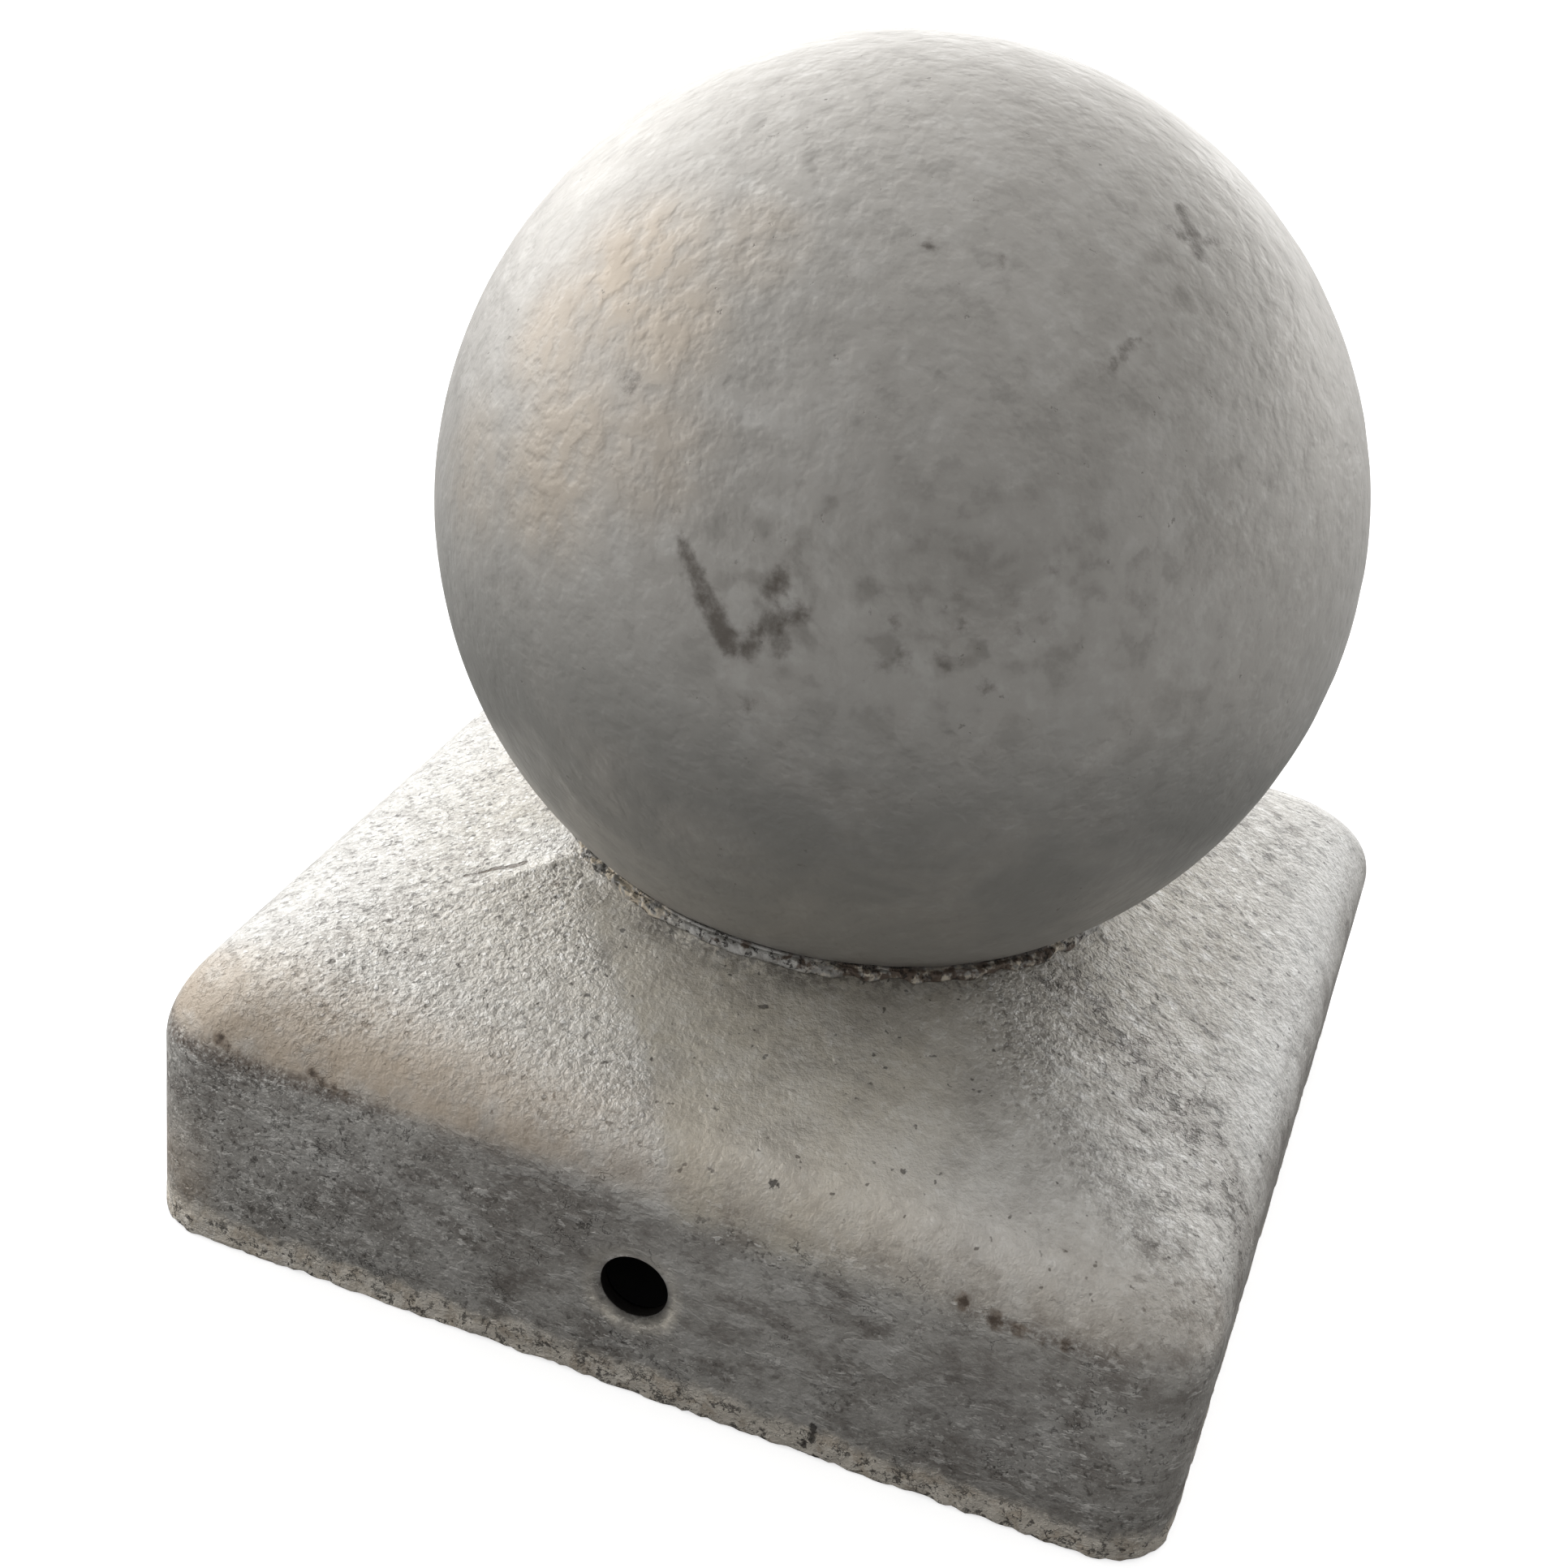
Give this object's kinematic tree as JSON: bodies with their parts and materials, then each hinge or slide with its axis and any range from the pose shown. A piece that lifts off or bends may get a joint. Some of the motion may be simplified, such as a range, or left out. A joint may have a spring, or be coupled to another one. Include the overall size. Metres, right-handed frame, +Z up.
{
  "type": "fence post cap",
  "caption": "Square pressed-steel post cap with a low hipped roof and a welded hollow ball finial, hot-dip galvanised.",
  "frame": {"origin": "on the post's axis, in the plane of the skirt's bottom rim", "axes": "+Z up through the centre of the ball; -Y out through the front screw hole, +X to the right"},
  "size_m": [0.093, 0.093, 0.1037],
  "materials": {
    "galvanised_sheet": "hot-dip zinc, matt, granular",
    "galvanised_ball": "hot-dip zinc, satin, cloudy",
    "weld_bead": "rough weld under zinc, rust bloom"
  },
  "bodies": {
    "root": {"cap_shell": "galvanised_sheet", "ball_lower_half": "galvanised_ball", "ball_upper_half": "galvanised_ball", "ball_seam_weld": "galvanised_ball", "ball_foot_weld": "weld_bead"}
  },
  "joints": []
}
